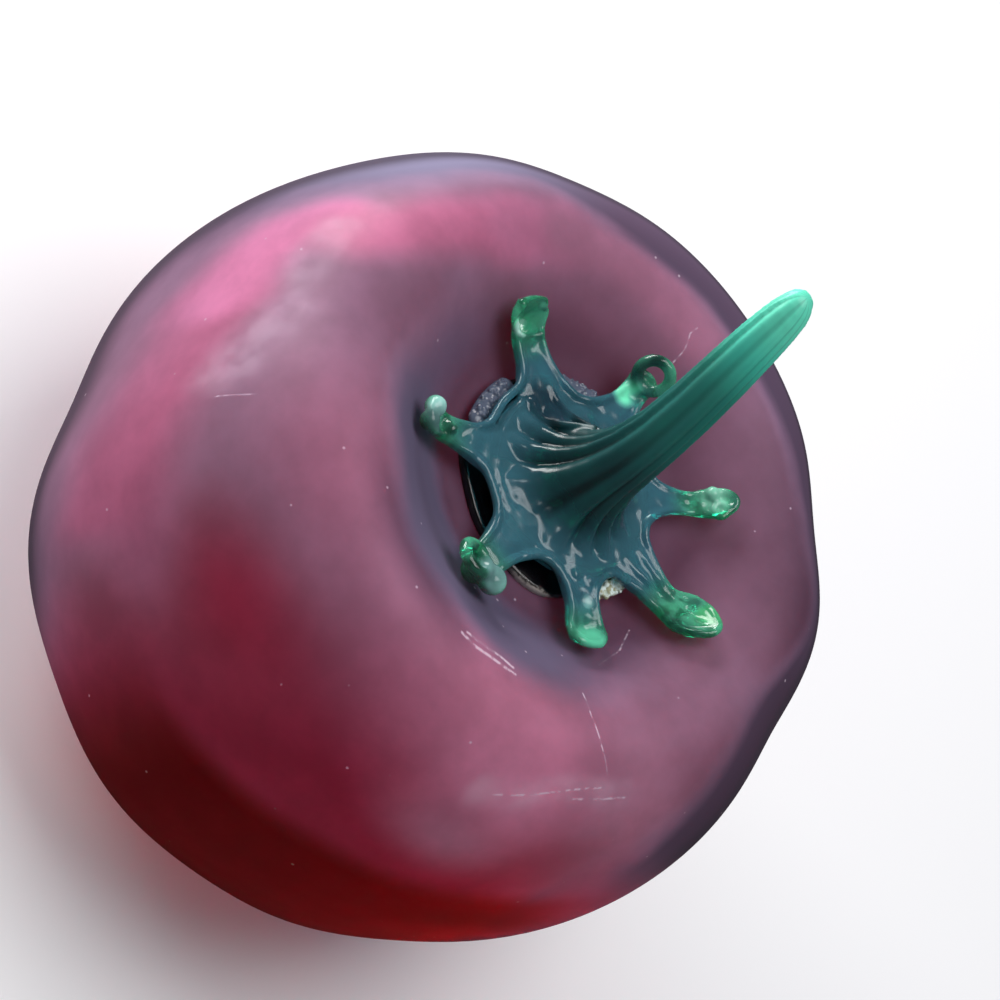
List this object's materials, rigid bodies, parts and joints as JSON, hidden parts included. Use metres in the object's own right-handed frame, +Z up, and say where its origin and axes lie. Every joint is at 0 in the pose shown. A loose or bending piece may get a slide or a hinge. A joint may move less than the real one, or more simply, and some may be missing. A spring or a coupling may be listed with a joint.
{
  "type": "glass tomato paperweight",
  "caption": "Solid ruby satin-glass tomato paperweight with a flat ground base and a green glass calyx and leaning ribbed stem cemented into the dimple on top",
  "frame": {"origin": "centre of the ground flat that the paperweight stands on", "axes": "+Z up along the fruit's axis, -Y toward the side seen in the picture, +X to the right of that side"},
  "size_m": [0.094, 0.0943, 0.0988],
  "materials": {
    "ruby_glass": "satin, etched",
    "green_glass": "bright sepals, satin stem",
    "clear_cement": "clear, bubbly",
    "pale_cement": "granular"
  },
  "bodies": {
    "root": {"fruit_body": "ruby_glass", "cement_bed": "clear_cement", "cement_crust": "pale_cement", "cement_film_left": "clear_cement", "cement_film_rear": "clear_cement", "calyx_and_stem": "green_glass"}
  },
  "joints": []
}
